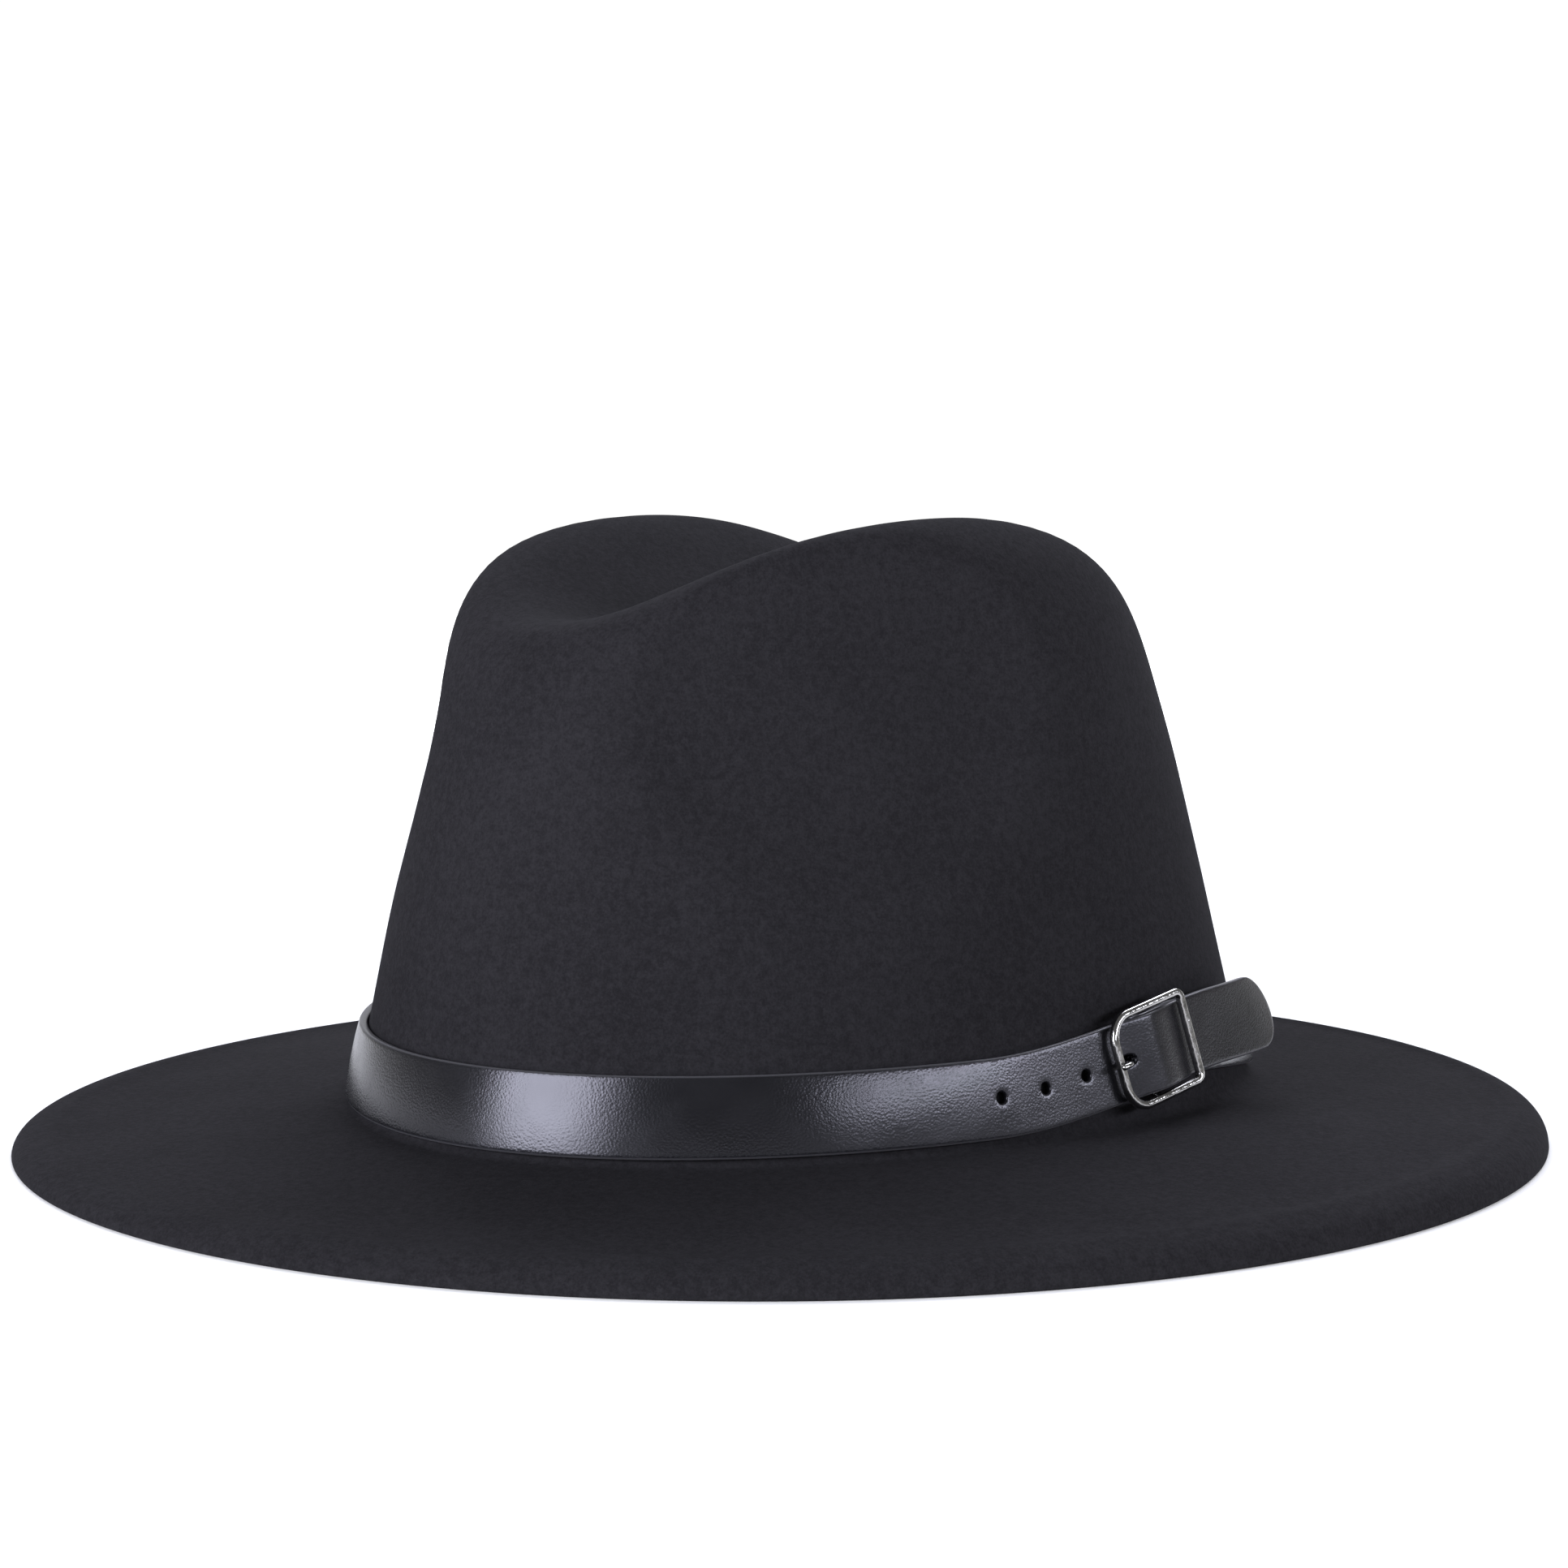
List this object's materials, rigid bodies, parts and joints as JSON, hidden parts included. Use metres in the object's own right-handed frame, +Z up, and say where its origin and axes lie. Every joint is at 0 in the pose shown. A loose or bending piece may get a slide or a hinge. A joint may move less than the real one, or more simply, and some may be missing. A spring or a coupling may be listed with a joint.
{
  "type": "fedora hat",
  "caption": "Wide-brimmed felt fedora with a dented and pinched crown, a turned-down brim edge and a leather strap with a metal buckle round the crown.",
  "frame": {"origin": "on the surface the hat stands on, under the middle of the brim", "axes": "+Z up through the crown, the front of the hat with the pinches is -Y, the wearer's left side with the buckle is +X"},
  "size_m": [0.3094, 0.326, 0.1276],
  "materials": {
    "felt": "charcoal wool felt, soft and matt",
    "leather": "black grained leather, semi-gloss",
    "metal": "polished silver-coloured metal"
  },
  "bodies": {
    "root": {"felt_crown_and_brim": "felt", "strap": "leather", "buckle_frame": "metal", "buckle_prong": "metal"}
  },
  "joints": []
}
